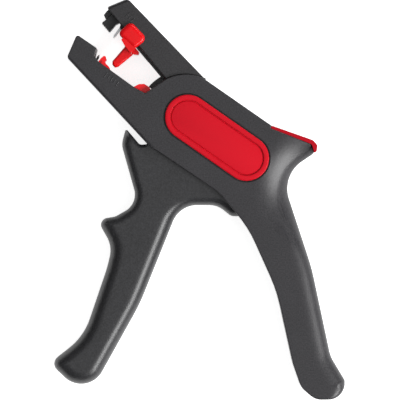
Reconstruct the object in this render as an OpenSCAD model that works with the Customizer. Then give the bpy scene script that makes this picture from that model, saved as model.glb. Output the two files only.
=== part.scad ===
// Self-adjusting wire stripper: a housing in two shells, a swinging upper jaw and a trigger handle.
// It lies on its rear face. X runs to the rear corner, Y to the jaws and Z up out of the front face.
// The origin is on the rear face, under the main pivot.

/* [Tool] */
// Overall length, from the tip of the upper jaw to the end of the fixed handle
tool_l = 191; // [180:1:205]

/* [Housing] */
// Thickness of the two shells together
body_t = 22; // [20:0.5:26]
// Side wall of each shell
side_wall = 2.6; // [2.2:0.1:3.2]
// Rim wall that runs round the outline of each shell
rim_wall = 2.4; // [1.8:0.1:3]
// Depth of the seat that holds the badge
badge_seat = 1; // [0.6:0.1:1.4]
// Radius of the round ends of the badge
badge_r = 10.8; // [9:0.1:12]
// Distance between the centres of the badge's round ends
badge_span = 34.2; // [28:0.2:36]
// How far the badge's rim stands out of its seat above the housing
badge_proud = 0.8; // [0.3:0.1:1.5]
// Width of the badge's raised rim
badge_rim = 2.8; // [2:0.1:3.4]
// Depth of the badge's dished middle
badge_dish = 0.7; // [0.4:0.1:1]
// Thickness of the soft strip on the rear corner
strip_t = 1.3; // [0.8:0.1:1.6]

/* [Pivot and linkage] */
// Radius of the main pivot pin
pivot_r = 3; // [2.5:0.1:3.5]
// Radial running clearance of every pin in its bore
run_gap = 0.05; // [0.02:0.01:0.1]
// Thickness of the jaw's hub between the trigger's cheeks
hub_t = 6.6; // [5.6:0.2:7]
// Radius of the jaw's round hub
hub_r = 10.8; // [9.6:0.2:11]
// Radius of the seam where the jaw meets the housing
seam_r = 21; // [20.4:0.1:21.4]
// Clearance between parts that slide past each other
side_gap = 0.4; // [0.3:0.05:0.5]
// Turn of the trigger from open to squeezed
squeeze = 26; // [20:1:26]
// Turn of the upper jaw from open to closed
jaw_swing = 9.3; // [8:0.1:10]
// Radius of the draw pin's path about the pivot
draw_r = 16; // [15:0.1:16.4]
// Radius of the draw pin and of the link's pins
draw_pin_r = 1.5; // [1.2:0.1:1.8]
// Thickness of the steel pull link
link_t = 1.3; // [1:0.1:1.4]

/* [Jaws and blades] */
// Step from the housing's face down to the upper jaw's face
jaw_step = 1.25; // [0.9:0.05:1.6]
// Width of the channel that each slide runs in, inside the upper jaw
channel_w = 13.6; // [12:0.2:14.4]
// Depth of that channel from the jaw's inner edge
channel_d = 5.8; // [5:0.1:6.4]
// How far the upper slide shows below the jaw's inner edge
slide_proud = 1.2; // [0.8:0.1:1.5]
// Thickness of the two blades
blade_t = 0.8; // [0.5:0.1:1]
// Width of the two blades
blade_w = 11; // [8:0.5:12]
// Pitch of the teeth on the gripping pads
tooth_pitch = 1.1; // [0.9:0.1:1.6]
// Thickness of the length stop's cap over the jaw
cap_t = 2.4; // [1.6:0.1:3]
// Width of the length stop's arm across the throat
stop_arm_w = 5.6; // [4.4:0.2:6]

/* [Trigger] */
// Radius of the trigger's cheeks round the pivot
boss_r = 9.5; // [8.5:0.1:10]
// Wire of the return spring
spring_wire = 1; // [0.7:0.1:1.2]
// Outer diameter of the return spring
spring_d = 6.4; // [5.4:0.2:7]

/* [Screws] */
// Shank radius of the housing screws
screw_r = 1.4; // [1.2:0.1:1.6]
// Head radius of the housing screws
screw_head_r = 2.3; // [2:0.1:2.5]
// Height of their heads
screw_head_h = 1.5; // [1.2:0.1:1.8]
// How far the heads lie below the rear face
screw_sunk = 0.5; // [0.3:0.1:0.8]

/* [Hidden] */
$fn = 64;
eps = 0.01;
least = 0.000001;
roll_share = 0.25;

// The outline and the jaws are drawn for a tool of this length and follow tool_l.
drawn_l = 191;
size_k = tool_l / drawn_l;

// Layers, as half thicknesses about the middle plane where the shells part.
mid = body_t / 2;
in_half = mid - side_wall;
trig_half = in_half - side_gap;
hub_half = hub_t / 2;
slot_half = hub_half + side_gap;
jaw_half = mid - jaw_step;
channel_half = channel_w / 2;
slide_half = channel_half - 0.3;
lower_half = in_half - side_gap;
tail_half = hub_half - 0.3;
link_top = mid - slot_half;
link_low = link_top - link_t;
cheek_top = link_low - 0.2;

// Frames of the two jaws: x runs along the inner edge to the tip, y points down in the photo's view.
upper_at = size_k * [-9.5, 18.9];
upper_turn = 129.9;
lower_at = size_k * [-24.3, 14.7];
lower_turn = 144.3;
badge_turn = -34.9;
badge_from = size_k * [1, 0.5];
badge_at = [badge_from, badge_from + badge_span * [cos(badge_turn), sin(badge_turn)]];
screw_at = size_k * [[-30.8, 7.4], [27.5, 1], [52.6, -16.2], [54.6, -78], [66.2, -122.6]];
screw_fit = 0.2;
boss_wall = 0.7;
screw_boss_r = screw_head_r + screw_fit + boss_wall;
badge_fit = 0.25;
screw_tip = 2.5;
hex_r = 1.1;
hex_deep = 0.9;
stop_fit = 0.25;
blade_fit = 0.3;

// Pull linkage. Both slides travel as far as the draw pin's chord, and the link's lower pin is put
// where its own chord equals the way that the upper slide's pin makes as the jaw closes.
slide_travel = 2 * draw_r * sin(squeeze / 2);
draw_from = 90 + lower_turn - squeeze / 2;
draw_at = draw_r * [cos(draw_from), sin(draw_from)];
link_end = [4.6, -4.2];
link_pin_r = draw_pin_r - 0.3;
link_top_at = upper_at + spin(size_k * link_end, upper_turn);
link_way = spin(link_top_at - slide_travel * [cos(upper_turn), sin(upper_turn)], jaw_swing) - link_top_at;
link_r = norm(link_way) / (2 * sin(squeeze / 2));
link_from = atan2(link_way.y, link_way.x) - 90 - squeeze / 2;
link_at = link_r * [cos(link_from), sin(link_from)];
link_w = 2.8;
link_eye_r = 2.1;
eye_room = max(channel_d, link_eye_r - link_end.y + 0.7);
// The upper eye is a little loose, since the slide's pin follows a chord and the link an arc.
link_eye_slack = 0.3;
// Draw pin in the lower jaw's frame, and how far its path bows across the slide's line.
draw_in_lower = spin(draw_at - lower_at, -lower_turn) / size_k;
draw_bow = draw_r * (1 - cos(squeeze / 2));
// Rivets and pins of the blades and of the gripping pad.
rivet_r = 0.9;
upper_rivet_at = [31.2, -2];
lower_rivet_at = [22, 2.6];
pad_pin_r = 1;
pad_pin_at = [38, -2];
pad_pin_end = 1.3;
// What is left of a cheek behind a blind bore, and the pin's gap to the bore's floor.
draw_floor = 1.2;
pin_end_gap = 0.1;

// Edge rolls: [width in from the outline, depth below the face].
fine = [0.5, 0.5];
lip = [1.4, 1];
bevel = [1.6, 1.2];
grip = [8, 6];
grip_end = [7, 5.4];
bay = [3.6, 3.6];
seam_from = 66.4;
seam_to = 116.7;
seam_mid = (seam_from + seam_to) / 2;
seam_tip = (seam_r + eps) / cos((seam_to - seam_from) / 2);
top_at = [41.2, -3.6];
shelf_at = [top_at.x - 0.42 * strip_t, top_at.y - 0.91 * strip_t];

// Housing outline, corner by corner and counter-clockwise:
// [x, y, corner radius, roll of the edge that follows].
HOUSING = sized([[-51.9, 40.1, 1.2, fine], [-56.7, 29, 2, bevel], [-17.9, -12.7, 4, fine],
           [15.8, -35.3, 30, fine], [30, -52.2, 60, fine], [43.6, -82.5, 70, fine],
           [51.2, -117, 40, fine], [55.2, -128.6, 8, fine], [62, -134.5, 8, lip],
           [76.3, -134.3, 7.8, grip_end],
           [76.2, -125.2, 2, grip], [69.4, -113.8, 16, grip], [60.4, -71.5, 90, grip],
           [45.9, -27.2, 15.7, bay], [61.5, -16.7, 1.6, lip], [60.3, -12.4, 2, fine],
           [shelf_at.x, shelf_at.y, 0.1, fine],
           [top_at.x, top_at.y, 0.3, fine],
           seam_corner(seam_r, seam_from, eps),
           seam_corner(seam_tip, seam_mid, seam_r - 0.3),
           seam_corner(seam_r, seam_to, eps),
           [-19.3, 12, 1.2, fine], [-24.3, 14.7, 3, fine], [-41.8, 27.3, 0.8, fine],
           [-43.5, 29.3, 1.2, fine], [-42.4, 33.5, 0.8, fine]]);

palm = [6.5, 7];
thumb = [4.5, 5];
horn = [2, 3];
inner = [1, 1];

// Trigger outline, from the horn down the front, round the end and up the back, then inside the housing.
TRIGGER = sized([[-28.7, -4.6, 0.8, thumb], [-30.7, -12.5, 9, thumb], [-22.8, -40.7, 9, thumb],
           [-33.8, -47, 8, thumb], [-42.6, -48.3, 3.4, palm], [-35.3, -61.2, 13, palm],
           [-37.7, -71.5, 60, palm], [-48.9, -104.4, 30, palm], [-65.2, -117.2, 4.2, palm],
           [-47.3, -134.4, 11.5, palm], [-22, -89, 90, palm], [-2.9, -41.5, 12.5, thumb],
           [15.2, -41.5, 11, thumb], [21.8, -46.8, 4, thumb], [26.9, -46.9, 0.8, inner],
           [9.4, -1, 2, inner],
           [-9, -2, 2, inner], [-16.6, -8.8, 1.5, inner], [-18.7, -12.3, 0.6, horn],
           [-21.9, -12.6, 2.4, horn]]);

// Upper jaw's arm in its own frame.
ARM = [[44.3, -0.2, 1, fine], [-15, 0, 0.5, fine], [-15, -14.6, 0.5, fine], [41.1, -10.7, 2.6, lip]];

// Outline tools -------------------------------------------------------------
// A drawn outline at the size of this tool; the rolls of its edges keep their widths.
function sized(list) = [for (c = list) concat(size_k * [c[0], c[1], c[2]], [c[3]])];
function seam_corner(r, a, round_r) = [r * cos(a) / size_k, r * sin(a) / size_k, round_r / size_k, fine];
function unit(v) = v / norm(v);
function left(v) = [-v.y, v.x];
function spin(v, a) = [v.x * cos(a) - v.y * sin(a), v.x * sin(a) + v.y * cos(a)];
function cyc(list, i) = list[(i + len(list)) % len(list)];
function at(c) = [c[0], c[1]];
function heading(list, i) = unit(at(cyc(list, i + 1)) - at(cyc(list, i)));
function turn(a, b) = atan2(a.x * b.y - a.y * b.x, a * b);

// Shift of a corner that moves its two edges inward by wa and wb.
function corner_shift(a, b, wa, wb) =
    let (na = left(a), nb = left(b), d = na.x * nb.y - na.y * nb.x)
    abs(d) < 0.02 ? nb * wb : [wa * nb.y - wb * na.y, wb * na.x - wa * nb.x] / d;

// Points [x, y, drop] of the outline with each edge moved inward by its share f of the roll.
function ring(list, f, step = 12) =
    [for (i = [0:len(list) - 1])
        let (c = list[i], a = heading(list, i - 1), b = heading(list, i), t = turn(a, b),
             ra = cyc(list, i - 1)[3], rb = c[3],
             p = at(c) + corner_shift(a, b, f * ra[0], f * rb[0]),
             w = f * max(ra[0], rb[0]),
             r = t > 0 ? max(c[2] - w, 0.15) : c[2] + w,
             n = max(2, ceil(abs(t) / step)),
             side = sign(t) * r * left(a),
             centre = p - a * r * tan(abs(t) / 2) + side)
        for (j = [0:n])
            let (q = centre - spin(side, t * j / n))
            [q.x, q.y, ra[1] + (rb[1] - ra[1]) * j / n]];

function flat(points) = [for (p = points) [p.x, p.y]];
// Outline of the hollow inside: the rim wall, plus a share of what the rolled edge takes away.
function hollow(list) =
    flat(ring([for (c = list)
                  [c[0], c[1], max(c[2] - rim_wall, 0.1), [rim_wall + roll_share * c[3][0], 0]]],
              1, 30));

// Triangles that fill an outline, found by cutting off one ear after another: a convex corner with no
// other corner inside the triangle that it makes with its neighbours.
function area2(a, b, c) = (b.x - a.x) * (c.y - a.y) - (b.y - a.y) * (c.x - a.x);
function holds(a, b, c, q) = min(area2(a, b, q), area2(b, c, q), area2(c, a, q)) > -least;
function is_ear(p, loop, i) =
    let (a = cyc(loop, i - 1), b = loop[i], c = cyc(loop, i + 1))
    area2(p[a], p[b], p[c]) > least
    && len([for (q = loop) if (q != a && q != b && q != c && holds(p[a], p[b], p[c], p[q])) q]) == 0;
function next_ear(p, loop, i) = i >= len(loop) ? 0 : is_ear(p, loop, i) ? i : next_ear(p, loop, i + 1);
function without(list, i) = [for (j = [0:len(list) - 1]) if (j != i) list[j]];
function ears(p, loop) =
    len(loop) < 4 ? [loop]
    : let (i = next_ear(p, loop, 0))
      concat([[cyc(loop, i - 1), loop[i], cyc(loop, i + 1)]], ears(p, without(loop, i)));
function backward(faces) = [for (f = faces) [f[2], f[1], f[0]]];

// Stack of rings as one closed skin.
module stack(rings) {
    n = len(rings[0]);
    m = len(rings);
    first = [for (i = [0:n - 1]) i];
    points = [for (r = rings) each r];
    sides = [for (k = [0:m - 2], i = [0:n - 1])
        let (a = k * n + i, b = k * n + (i + 1) % n)
        each [[a, a + n, b + n], [a, b + n, b]]];
    top = [for (f = backward(ears(rings[m - 1], first))) f + (m - 1) * n * [1, 1, 1]];
    polyhedron(points, concat(ears(rings[0], first), sides, top));
}

// Ring at step k of a quarter-ellipse roll.
function rolled(list, half, k, count) =
    let (a = 90 * k / count)
    [for (p = ring(list, 1 - cos(a))) [p.x, p.y, half - p[2] * (1 - sin(a))]];
function lowered(points) = [for (p = points) [p.x, p.y, -p.z]];

// Half of a moulding, from the parting plane up to a face with rolled edges.
module half_skin(list, half, count = 3) {
    stack(concat([[for (p = ring(list, 0)) [p.x, p.y, 0]]],
                 [for (k = [0:count]) rolled(list, half, k, count)]));
}

// A whole moulding with both faces rolled, about the middle plane.
module full_skin(list, half, count = 3) {
    stack(concat([for (k = [count:-1:0]) lowered(rolled(list, half, k, count))],
                 [for (k = [0:count]) rolled(list, half, k, count)]));
}

module layer(low, high) {
    translate([0, 0, low])
        linear_extrude(high - low)
            children();
}

module in_upper() {
    translate([upper_at.x, upper_at.y, 0])
        rotate(upper_turn)
            scale([size_k, size_k, 1])
                children();
}

module in_lower() {
    translate([lower_at.x, lower_at.y, 0])
        rotate(lower_turn)
            scale([size_k, size_k, 1])
                children();
}

module box_2d(x, y) {
    translate([x[0], y[0]])
        square([x[1] - x[0], y[1] - y[0]]);
}

// Bar with round ends between two points.
module bar_2d(a, b, r) {
    for (p = [a, b])
        translate(p)
            circle(r);
    translate(a)
        rotate(atan2(b.y - a.y, b.x - a.x))
            translate([0, -r])
                square([norm(b - a), 2 * r]);
}

// Housing ---------------------------------------------------------------------
swing_r = 54.2 * size_k;
toe_rib = 1.8;
tip_from = 24.6;
pad_x = [27, 35];
pad_fit = 0.2;
pad_ledge = 2.4;
// The openings stop a little short of the hollow's floor, so that no two floors share a plane.
floor_step = 0.1;
spring_from = size_k * [20.5, -30];
spring_to = size_k * [41.6, -14.2];
spring_turn = atan2(spring_to.y - spring_from.y, spring_to.x - spring_from.x);
seat_t = 2;
seat_w = 10;

// The housing's outline without the strip's step and the seam's arc.
ROOM = concat([for (i = [0:15]) HOUSING[i]],
              sized([[top_at.x, top_at.y - strip_t, 3, fine], [8.4, 19.2, 3, fine], [-9.4, 18.8, 3, fine]]),
              [for (i = [21:25]) HOUSING[i]]);

function arc(r, from, to, count = 6) =
    [for (i = [0:count])
        let (a = from + (to - from) * i / count)
        r * [cos(a), sin(a)]];

// Space inside both shells, seen from the front.
module hollow_2d() {
    difference() {
        polygon(hollow(ROOM));
        in_lower()
            box_2d([tip_from, 40], [-10, 16]);
        // Rib outside the toe's path, and ribs that stiffen the handle.
        polygon(concat(arc(swing_r, -84, -45), arc(swing_r + toe_rib, -45, -84)));
        for (y = size_k * [-68, -90, -104])
            box_2d(size_k * [30, 80], [y, y + toe_rib]);
        // Seat of the return spring, and the screws' bosses.
        translate(spring_to)
            rotate(spring_turn)
                box_2d([0, seat_t], [-seat_w / 2, seat_w / 2]);
        for (p = screw_at)
            translate(p)
                circle(screw_boss_r);
    }
}

// First child with the second, a flat shape, cut out of it from the parting plane to a depth.
module cut(depth) {
    difference() {
        children(0);
        layer(-1, depth)
            children(1);
    }
}

// The trigger swings in through the seam.
module trigger_opening_2d() {
    polygon(concat(size_k * [[-19.8, -10.9], [-16.8, -8.8], [0, 0]],
                   arc(swing_r - 0.1, -36, -108),
                   size_k * [[-30, -30]]));
}

// The upper jaw swings in at the seam's arc.
module jaw_opening_2d() {
    polygon(size_k * [[0.3, 0.7], [15, 25], [-10, 36], [-30, 30], [-27, 15], [-14, 2]]);
}

// The lower jaw's channel is open to the throat.
module channel_opening_2d() {
    in_lower()
        box_2d([-9, tip_from - 0.2], [-6, 3.3]);
}

// One shell, from the parting plane at z = 0 out to its face: its hollow, its openings one by one,
// the pocket of the lower gripping pad and the blind bore of the pivot pin.
module shell_half() {
    difference() {
        cut(in_half - pad_ledge) {
            cut(in_half - 2 * floor_step) {
                cut(in_half - floor_step) {
                    cut(in_half - floor_step) {
                        cut(in_half) {
                            half_skin(HOUSING, mid);
                            hollow_2d();
                        }
                        trigger_opening_2d();
                    }
                    jaw_opening_2d();
                }
                channel_opening_2d();
            }
            in_lower()
                box_2d([pad_x[0] - pad_fit, pad_x[1] + pad_fit], [-8, 1.6]);
        }
        translate([0, 0, -1])
            cylinder(r = pivot_r, h = in_half + 2.2);
    }
}

// Round-ended badge outline about its two centres.
module badge_2d(r) {
    along = badge_at[1] - badge_at[0];
    from = atan2(along.y, along.x) + 90;
    polygon([for (end = [0, 1], i = [0:24])
        let (a = from + 180 * end + 7.5 * i)
        badge_at[end] + r * [cos(a), sin(a)]]);
}

module front_shell() {
    color("#3d3c40")
    translate([0, 0, mid])
        difference() {
            difference() {
                shell_half();
                layer(mid - badge_seat, mid + 1)
                    badge_2d(badge_r + badge_fit);
            }
            for (p = screw_at)
                translate([p.x, p.y, -1])
                    cylinder(r = screw_r, h = in_half);
        }
}

module rear_shell() {
    color("#3d3c40")
    translate([0, 0, mid])
        mirror([0, 0, 1])
            difference() {
                difference() {
                    shell_half();
                    for (p = screw_at)
                        translate([p.x, p.y, -1])
                            cylinder(r = screw_r + screw_fit, h = mid + 2);
                }
                for (p = screw_at)
                    translate([p.x, p.y, mid - screw_sunk - screw_head_h])
                        cylinder(r = screw_head_r + screw_fit, h = mid);
            }
}

module badge() {
    top = body_t + badge_proud;
    color("#e31b2e")
    difference() {
        layer(body_t - badge_seat, top)
            badge_2d(badge_r);
        layer(top - badge_dish, top + 1)
            badge_2d(badge_r - badge_rim);
    }
}

// Soft strip that wraps the rear corner, over the step in the outline.
module corner_strip() {
    bond = 0.05;
    strip = sized([[61.5, -16.3, 0.2], [62.6, -16, 0.5], [63.1, -12.9, 1.4],
                   [60.9, -12.4 + 1.55 * strip_t, 2],
                   [top_at.x + bond, top_at.y + 0.1, 0.3], [shelf_at.x + bond, shelf_at.y + bond, 0.1],
                   [60.3 + bond, -12.4 + bond, 2]]);
    color("#d8182a")
    layer(1.5, body_t - 1.2)
        polygon(flat(ring([for (c = strip) [c[0], c[1], c[2], [0, 0]]], 0)));
}

module housing_screws() {
    color("#8a8c90")
    for (p = screw_at)
        translate([p.x, p.y, screw_sunk])
            difference() {
                union() {
                    cylinder(r = screw_head_r, h = screw_head_h);
                    cylinder(r = screw_r, h = mid + in_half - screw_tip - screw_sunk);
                }
                translate([0, 0, -eps])
                    cylinder(r = hex_r, h = hex_deep, $fn = 6);
            }
}

module pivot_pin() {
    color("#a8abb0")
    translate([0, 0, mid - in_half - 1])
        cylinder(r = pivot_r, h = 2 * in_half + 2);
}

tooth_tall = 0.5;
// Row of teeth along x, each a low triangle that points along +y.
function teeth(x0, x1, y, tall) =
    let (n = floor((x1 - x0) / tooth_pitch), p = (x1 - x0) / n)
    [for (i = [0:n - 1]) each [[x0 + i * p, y], [x0 + (i + 0.5) * p, y + tall]]];

module lower_grip_pad() {
    color("#232326")
    layer(mid - in_half + pad_ledge + pad_fit, mid + in_half - pad_ledge - pad_fit)
        in_lower()
            mirror([0, 1])
                polygon(concat(teeth(pad_x[0], pad_x[1], 4.1, tooth_tall),
                               [[pad_x[1], 4.1], [pad_x[1], -1.4], [pad_x[0], -1.4]]));
}

// Upper jaw -----------------------------------------------------------------------
module upper_jaw() {
    color("#3d3c40")
    translate([0, 0, mid])
        difference() {
            union() {
                difference() {
                    in_upper()
                        full_skin(ARM, jaw_half, 2);
                    cylinder(r = seam_r + 0.3, h = body_t, center = true);
                    // Channel of the slide, deeper at its root where the pull link's eye and its lug run.
                    layer(-channel_half, channel_half)
                        in_upper()
                            polygon([[-12, -eye_room], [12, -eye_room], [12, -channel_d], [36, -channel_d],
                                     [36, 5], [-12, 5]]);
                    // Pocket of the pad and the nose guide in the tip.
                    layer(-7.2, 7.2)
                        in_upper()
                            box_2d([33.9, 43.2], [-4.2, 5]);
                }
                layer(-hub_half, hub_half)
                    hub_2d();
            }
            cylinder(r = pivot_r + run_gap, h = body_t, center = true);
            in_upper()
                translate([pad_pin_at.x, pad_pin_at.y, 0])
                    cylinder(r = pad_pin_r, h = 2 * (jaw_half - pad_pin_end + pin_end_gap), center = true);
        }
}

module hub_2d() {
    circle(hub_r);
    intersection() {
        circle(seam_r + 0.5);
        polygon([[0, 0], 40 * [cos(95), sin(95)], 40 * [cos(63), sin(63)]]);
    }
    intersection() {
        circle(seam_r + 2.4);
        polygon([[0, 0], 40 * [cos(139), sin(139)], 45 * [cos(110), sin(110)], 40 * [cos(78), sin(78)]]);
    }
}

module upper_grip_pad() {
    tooth_line = teeth(34.6, 40.2, 6, tooth_tall);
    color("#1f1f22")
    translate([0, 0, mid])
        difference() {
            layer(-6, 6)
                in_upper()
                    polygon(concat([[40.2, 6], [40.3, -4], [34.1, -4], [35.4, 1.7]], tooth_line));
            in_upper()
                translate([pad_pin_at.x, pad_pin_at.y, 0])
                    cylinder(r = pad_pin_r, h = body_t, center = true);
        }
}

module nose_guide() {
    color("#1b1b1e")
    layer(mid - 6, mid + 6)
        in_upper()
            polygon([[40.5, -4], [43, -4], [43, 0.6], [42.5, 3.1], [40.9, 3.6], [40.5, 2.6]]);
}

module pad_pin() {
    color("#a8abb0")
    in_upper()
        translate([pad_pin_at.x, pad_pin_at.y, mid - jaw_half + pad_pin_end])
            cylinder(r = pad_pin_r, h = 2 * (jaw_half - pad_pin_end));
}

module blade_2d(length) {
    polygon([[0, -blade_t / 2], [length - 1.1, -blade_t / 2], [length, 0], [length - 1.1, blade_t / 2],
             [0, blade_t / 2]]);
}

module upper_slide() {
    color("#202023")
    difference() {
        union() {
            layer(mid - slide_half, mid + slide_half)
                in_upper()
                    polygon([[10.6, -channel_d + 0.3], [32.2, -channel_d + 0.3], [33.6, -4.4], [33.6, 0.4],
                             [32.8, slide_proud], [12, slide_proud], [10.6, 0]]);
            // Front rail beside the jaw's hub, and the lug of the pull link behind it.
            layer(mid + slot_half, mid + slide_half)
                in_upper()
                    box_2d([1, 13], [-channel_d + 0.3, slide_proud]);
            layer(mid - slide_half, cheek_top)
                in_upper()
                    bar_2d(link_end, [14, -3], 2);
        }
        // Seat of the blade, and its rivet.
        layer(mid - blade_w / 2 - blade_fit, mid + blade_w / 2 + blade_fit)
            at_upper_blade()
                translate([-4, -3])
                    square([14, 3 + blade_t / 2]);
        translate([link_top_at.x, link_top_at.y, 0])
            cylinder(r = link_pin_r, h = mid);
        in_upper()
            translate([upper_rivet_at.x, upper_rivet_at.y, mid])
                rotate([0, 90, 0])
                    cylinder(r = rivet_r, h = 4);
    }
}

module at_upper_blade() {
    in_upper()
        translate([33.6, -2])
            rotate(105)
                children();
}

module upper_blade() {
    color("#c9ccd0")
    layer(mid - blade_w / 2, mid + blade_w / 2)
        at_upper_blade()
            blade_2d(8.9);
}

module upper_blade_rivet() {
    color("#a8abb0")
    in_upper()
        translate([upper_rivet_at.x, upper_rivet_at.y, mid])
            rotate([0, 90, 0])
                cylinder(r = rivet_r, h = 1.6);
}

// Length stop -------------------------------------------------------------------------
CAP = [[20.1, -5.6, 2.8], [31.8, -4.8, 2.6], [31.3, 3.9, 2.2], [20.5, 2.4, 1.6]];
module length_stop() {
    face = mid + jaw_half + stop_fit;
    arm = [[27.9, 4.3], [24.6, 4.9], [23.1, 14.1], [21.8, 15.2], [19.9, 15.2], [19.2, 13.6],
           [19.1, 4.9], [20.4, 1.6], [27.6, 1.6]];
    color("#e6202c")
    in_upper() {
        layer(face, face + cap_t)
            polygon(flat(ring([for (c = CAP) [c.x, c.y, c.z, [0, 0]]], 0)));
        layer(mid - stop_arm_w / 2, mid + stop_arm_w / 2)
            polygon(arm);
        layer(mid - jaw_half - 0.95, face + cap_t - 0.6)
            polygon([[28.2, 1.6], [27.9, 4.3], [24.6, 4.9], [20, 4.9], [20.2, 1.6]]);
        layer(mid - jaw_half - 1, mid - jaw_half - stop_fit)
            box_2d([21.5, 29.5], [-3.6, 2.4]);
        layer(mid - 5, mid + 5)
            polygon([[20.3, 1.55], [20.2, 4.2], [18.9, 4.2], [17.3, 2.6], [18, 1.55]]);
    }
}

// Lower slide ------------------------------------------------------------------------------
module lower_slide() {
    color("#d11526")
    difference() {
        union() {
            // Front rail with the lug at the throat's root, and rear rail.
            layer(mid + slot_half + 0.2, mid + lower_half)
                in_lower()
                    polygon([[21.8, 4.6], [21.8, 0.3], [0.8, 0.3], [-0.6, -2.5], [-2.6, -4.1], [-5.6, -4.3],
                             [-7.6, -3.2], [-8, -1], [-7.2, 2.2], [-4, 4.6]]);
            layer(mid - lower_half, mid - slot_half - 0.2)
                in_lower()
                    box_2d([2, 21.8], [0.3, 4.6]);
            for (x = [[18.4, 21.7], [2.1, 5]])
                layer(mid - lower_half, mid + lower_half)
                    in_lower()
                        box_2d(x, [0.4, 5.4]);
            // Wire rest behind the blade, and the ramps behind it.
            layer(mid - lower_half + 1, mid + lower_half - 0.6)
                in_lower()
                    polygon([[21.5, 1], [21.4, -2], [20.9, -3.8], [20.1, -4], [18.9, -2.9], [18.6, 1]]);
            for (z = [[mid - lower_half, mid - slot_half - 0.2], [mid + slot_half + 0.2, mid + lower_half]])
                layer(z[0], z[1])
                    in_lower()
                        polygon([[20, 0.8], [20, -1.4], [18.2, -1.4], [15.8, -0.9], [13.6, 0.8]]);
            // Drawbar down to the trigger's draw pin.
            layer(mid - tail_half, mid + tail_half)
                in_lower()
                    bar_2d([3.5, 3.1], draw_in_lower, 1.8);
            layer(mid - tail_half, mid + tail_half)
                in_lower()
                    translate(draw_in_lower)
                        circle(3.2);
        }
        // The pin's path bows a little across the slide's line, so its hole is a short slot.
        layer(0, body_t)
            translate(draw_at)
                rotate(lower_turn)
                    bar_2d([0, 0], [0, draw_bow], draw_pin_r + run_gap);
        in_lower()
            translate([lower_rivet_at.x, lower_rivet_at.y, mid])
                rotate([0, -90, 0])
                    cylinder(r = rivet_r, h = 2);
    }
}

module lower_blade() {
    color("#2a2a2d")
    layer(mid - blade_w / 2, mid + blade_w / 2)
        in_lower()
            translate([22.3, 4])
                rotate(-83)
                    blade_2d(6.9);
}

module lower_blade_rivet() {
    color("#a8abb0")
    in_lower()
        translate([lower_rivet_at.x, lower_rivet_at.y, mid])
            rotate([0, -90, 0])
                cylinder(r = rivet_r, h = 1.4);
}

// Trigger and linkage ---------------------------------------------------------------------------
module trigger() {
    color("#3b3b3e")
    translate([0, 0, mid])
        difference() {
            union() {
                full_skin(TRIGGER, trig_half);
                cylinder(r = boss_r, h = 2 * trig_half + 0.1, center = true);
                layer(-trig_half + 0.5, cheek_top - mid)
                    bar_2d([0, 0], link_at, 3.4);
                // Peg that keeps the return spring in place.
                translate([spring_from.x, spring_from.y, 0])
                    rotate([0, 90, spring_turn])
                        translate([0, 0, -2])
                            cylinder(r = spring_d / 2 - spring_wire - 0.3, h = 4.5);
            }
            // Middle slot for the jaw's hub and for the lower slide's drawbar.
            layer(-slot_half, slot_half)
                slot_2d();
            cylinder(r = pivot_r + run_gap, h = body_t, center = true);
            translate([draw_at.x, draw_at.y, 0])
                cylinder(r = draw_pin_r, h = 2 * (trig_half - draw_floor), center = true);
            translate([link_at.x, link_at.y, 0])
                mirror([0, 0, 1])
                    cylinder(r = link_pin_r, h = trig_half - 1);
        }
}

module slot_2d() {
    circle(hub_r + 0.5);
    translate(draw_at)
        circle(3.6);
    polygon([draw_at + [-3.6, 0.2], [-26, 14], [10, 14], [8, -8], draw_at + [3.4, -1.2]]);
}

module draw_pin() {
    color("#a8abb0")
    translate([draw_at.x, draw_at.y, mid - trig_half + draw_floor + pin_end_gap])
        cylinder(r = draw_pin_r, h = 2 * (trig_half - draw_floor - pin_end_gap));
}

module pull_link() {
    color("#8f9296")
    layer(link_low, link_top)
        difference() {
            union() {
                bar_2d(link_at, link_top_at, link_w / 2);
                for (p = [link_at, link_top_at])
                    translate(p)
                        circle(link_eye_r);
            }
            translate(link_at)
                circle(link_pin_r + run_gap);
            translate(link_top_at)
                circle(link_pin_r + link_eye_slack);
        }
}

module link_pin_lower() {
    color("#a8abb0")
    translate([link_at.x, link_at.y, mid - trig_half + 1])
        cylinder(r = link_pin_r, h = link_top - mid + trig_half - 1);
}

module link_pin_upper() {
    color("#a8abb0")
    translate([link_top_at.x, link_top_at.y, mid - slide_half])
        cylinder(r = link_pin_r, h = link_top - mid + slide_half);
}

// Compression spring swept as rings of wire along a helix.
module return_spring() {
    length = norm(spring_to - spring_from) - seat_t;
    coils = 8;
    per = 12;
    sides = 6;
    mean = spring_d / 2 - spring_wire / 2;
    count = coils * per;
    rings = [for (i = [0:count])
        let (a = 360 * i / per, ease = min(1, i / per, (count - i) / per),
             x = spring_wire / 2 + (length - spring_wire) * i / count)
        [for (j = [0:sides - 1])
            let (b = 360 * j / sides, r = mean + spring_wire / 2 * cos(b))
            [r * cos(a), r * sin(a), x + spring_wire / 2 * sin(b)]]];
    n = sides;
    points = [for (r = rings) each r];
    walls = [for (k = [0:count - 1], i = [0:n - 1])
        let (a = k * n + i, b = k * n + (i + 1) % n)
        each [[a, a + n, b + n], [a, b + n, b]]];
    color("#9a9da2")
    translate([spring_from.x, spring_from.y, mid])
        rotate([0, 90, spring_turn])
            translate([0, 0, 1.4])
                polyhedron(points, concat([[for (i = [0:n - 1]) i]], walls,
                                          [[for (i = [n - 1:-1:0]) count * n + i]]));
}

front_shell();
rear_shell();
badge();
corner_strip();
housing_screws();
pivot_pin();
lower_grip_pad();
upper_jaw();
upper_grip_pad();
nose_guide();
pad_pin();
upper_slide();
upper_blade();
upper_blade_rivet();
length_stop();
lower_slide();
lower_blade();
lower_blade_rivet();
trigger();
draw_pin();
pull_link();
link_pin_lower();
link_pin_upper();
return_spring();
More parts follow.
